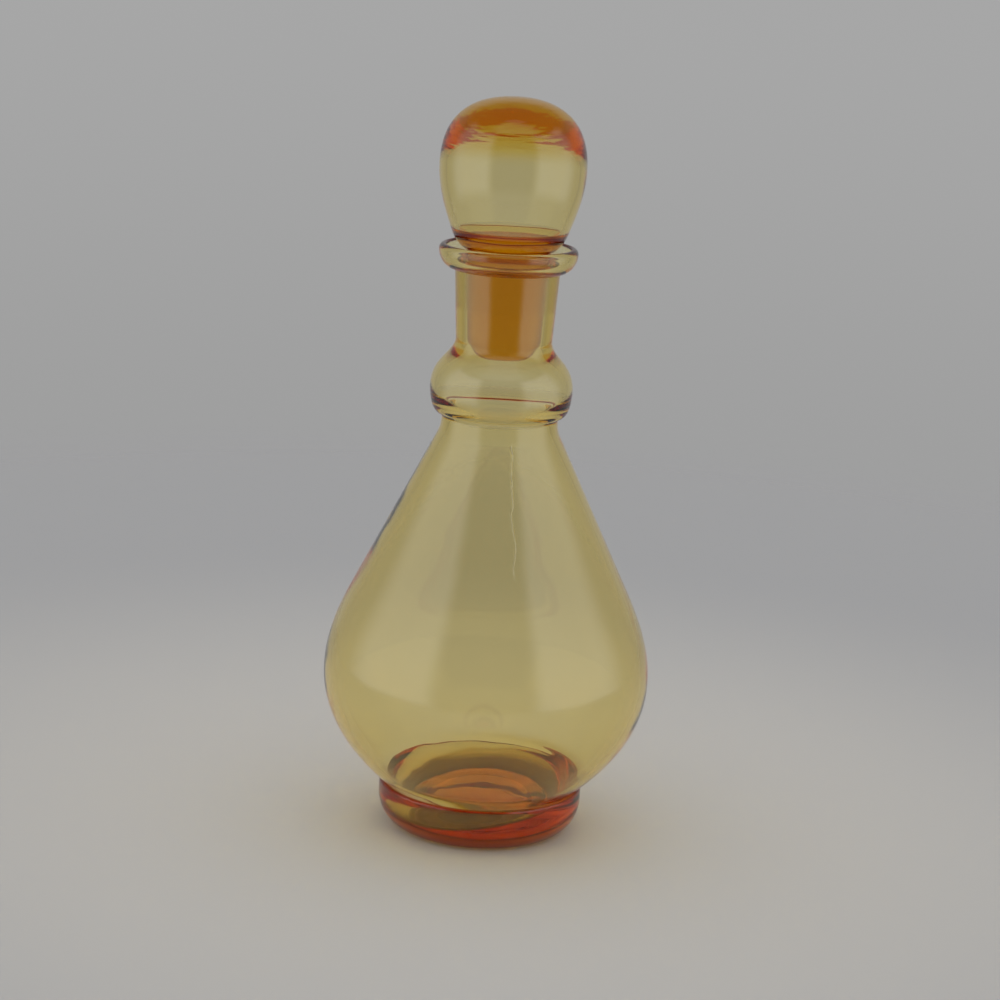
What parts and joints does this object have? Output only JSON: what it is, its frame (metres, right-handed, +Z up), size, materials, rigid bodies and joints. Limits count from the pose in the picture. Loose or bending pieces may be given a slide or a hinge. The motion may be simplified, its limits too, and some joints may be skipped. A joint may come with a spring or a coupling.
{
  "type": "genie bottle",
  "caption": "Teardrop amber glass decanter on a thick round foot, with a bead collar and a flared lip, closed by a hollow ball stopper on a ground taper plug",
  "frame": {"origin": "centre of the flat ring that the foot stands on, at table level", "axes": "+Z up along the bottle's axis and the stopper's axis; -Y faces the camera of the picture and +X is its right, though both pieces are turned about Z and have no front"},
  "size_m": [0.1136, 0.1136, 0.256],
  "materials": {
    "bottle": "clear amber blown glass, fire polished, turning deep red-orange where it is thick",
    "stopper": "clear amber blown glass with a ground, frosted plug"
  },
  "bodies": {
    "bottle": {"bottle": "bottle"},
    "stopper": {"stopper": "stopper"}
  },
  "joints": [
    {"name": "stopper_lift", "type": "slide", "parent": "bottle", "child": "stopper", "axis": [0, 0, 1], "range_m": [0, 0.06]}
  ]
}
